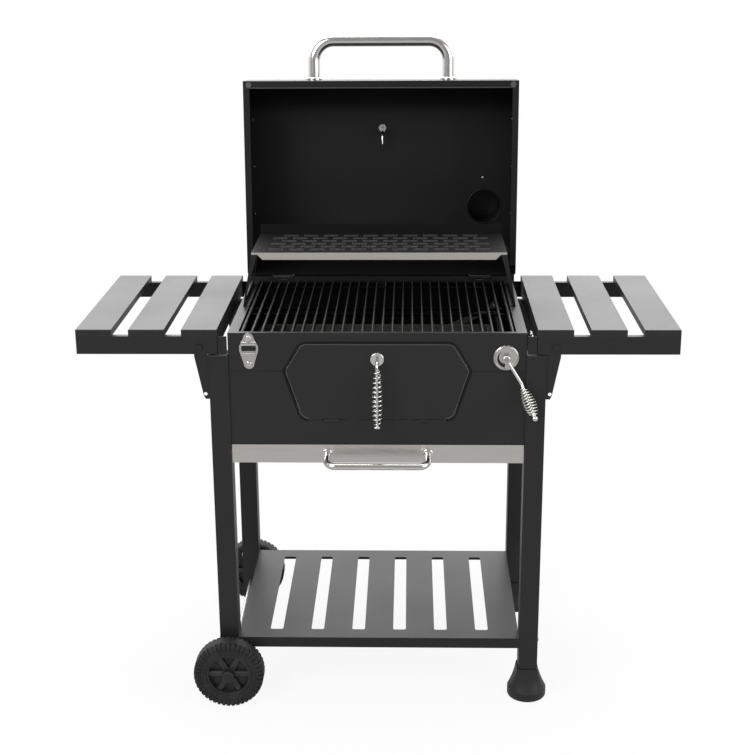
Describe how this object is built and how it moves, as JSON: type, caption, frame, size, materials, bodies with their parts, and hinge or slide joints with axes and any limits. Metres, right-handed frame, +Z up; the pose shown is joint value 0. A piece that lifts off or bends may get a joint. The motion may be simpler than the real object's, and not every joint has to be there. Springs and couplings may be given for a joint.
{
  "type": "charcoal grill trolley",
  "caption": "Black charcoal grill trolley on two wheels and two feet, its hinged lid open, with chimney, warming rack, crank-raised charcoal tray, ash drawer and folding side tables.",
  "frame": {"origin": "middle of the footprint of the whole object, on the ground", "axes": "+X to the right seen from the front, +Y to the back, +Z up"},
  "size_m": [1.15, 0.7818, 1.2959],
  "materials": {
    "black_powder_coat": "semi-matte powder coat",
    "black_enamel": "matte enamel",
    "stainless": "brushed",
    "polished_steel": "polished",
    "plain_steel": "zinc plated",
    "black_plastic": "fine grained",
    "tyre": "moulded tread",
    "rubber": "matte"
  },
  "bodies": {
    "trolley": {"leg_front_left": "black_powder_coat", "leg_front_right": "black_powder_coat", "leg_rear_left": "black_powder_coat", "leg_rear_right": "black_powder_coat", "foot_front_right": "black_plastic", "foot_rear_right": "black_plastic", "leg_plugs": "black_plastic", "bottom_shelf": "black_powder_coat", "axle": "plain_steel", "axle_caps": "black_plastic", "firebox_front": "black_powder_coat", "firebox_left_wall": "black_powder_coat", "firebox_right_wall": "black_powder_coat", "firebox_back": "black_powder_coat", "ash_runners": "black_powder_coat", "grate_ledges": "black_powder_coat", "tray_guides": "black_powder_coat", "bottle_opener": "stainless", "opener_rivets": "plain_steel", "crank_plate": "stainless", "grate_left": "black_enamel", "grate_right": "black_enamel", "firebox_hinge_leaves": "black_powder_coat", "rack_left_bracket": "black_powder_coat", "rack_right_bracket": "black_powder_coat", "warming_rack": "black_powder_coat", "rack_trim": "stainless", "left_table_brackets": "black_powder_coat", "right_table_brackets": "black_powder_coat", "frame_bolts": "plain_steel"},
    "wheel_front": {"wheel_front_tyre": "tyre", "wheel_front_hub": "black_plastic"},
    "wheel_rear": {"wheel_rear_tyre": "tyre", "wheel_rear_hub": "black_plastic"},
    "fire_door": {"fire_door": "black_powder_coat", "door_handle": "polished_steel", "door_grip": "polished_steel"},
    "crank": {"crank_shaft": "plain_steel", "crank_arm": "polished_steel", "crank_grip": "polished_steel", "lift_arms": "plain_steel"},
    "charcoal_tray": {"charcoal_tray": "black_powder_coat"},
    "ash_drawer": {"ash_drawer_front": "stainless", "ash_drawer_tray": "black_powder_coat", "drawer_handle": "polished_steel"},
    "lid": {"lid_wrap": "black_powder_coat", "lid_left_end": "black_powder_coat", "lid_right_end": "black_powder_coat", "lid_hinge_leaves": "black_powder_coat", "lid_handle": "polished_steel", "lid_handle_bolts": "plain_steel", "lid_bumpers": "rubber", "thermometer": "stainless", "thermometer_nut": "plain_steel", "chimney_pipe": "black_powder_coat"},
    "chimney_cap": {"chimney_cap": "black_powder_coat"},
    "left_table": {"left_table_frame": "black_powder_coat", "left_table_slats": "black_powder_coat"},
    "right_table": {"right_table_frame": "black_powder_coat", "right_table_slats": "black_powder_coat"}
  },
  "joints": [
    {"name": "wheel_front_spin", "type": "hinge", "parent": "trolley", "child": "wheel_front", "pos_m": [-0.304, -0.3626, 0.071], "axis": [0, 1, 0], "continuous": true},
    {"name": "wheel_rear_spin", "type": "hinge", "parent": "trolley", "child": "wheel_rear", "pos_m": [-0.304, 0.1204, 0.071], "axis": [0, 1, 0], "continuous": true},
    {"name": "fire_door_hinge", "type": "hinge", "parent": "trolley", "child": "fire_door", "pos_m": [0, -0.33585, 0.6029], "axis": [1, 0, 0], "range_deg": [0, 70]},
    {"name": "crank_turn", "type": "hinge", "parent": "trolley", "child": "crank", "pos_m": [0.246, -0.33659, 0.731], "axis": [0, 1, 0], "range_deg": [0, 30]},
    {"name": "tray_lift", "type": "slide", "parent": "trolley", "child": "charcoal_tray", "axis": [0, 0, 1], "range_m": [0, 0.05098]},
    {"name": "ash_drawer_slide", "type": "slide", "parent": "trolley", "child": "ash_drawer", "axis": [0, -1, 0], "range_m": [0, 0.3]},
    {"name": "lid_hinge", "type": "hinge", "parent": "trolley", "child": "lid", "pos_m": [0, 0.0884, 0.786], "axis": [1, 0, 0], "range_deg": [0, 94]},
    {"name": "chimney_cap_swing", "type": "hinge", "parent": "lid", "child": "chimney_cap", "pos_m": [0.1835, 0.3763, 0.8992], "axis": [0, 0.9976, -0.0698], "range_deg": [0, 100]},
    {"name": "left_table_fold", "type": "hinge", "parent": "trolley", "child": "left_table", "pos_m": [-0.34, -0.1196, 0.752], "axis": [0, -1, 0], "range_deg": [0, 90]},
    {"name": "right_table_fold", "type": "hinge", "parent": "trolley", "child": "right_table", "pos_m": [0.34, -0.1196, 0.752], "axis": [0, 1, 0], "range_deg": [0, 90]}
  ],
  "couplings": [
    {"joint": "tray_lift", "follows": "crank_turn", "m_per_rad": 0.097362}
  ]
}
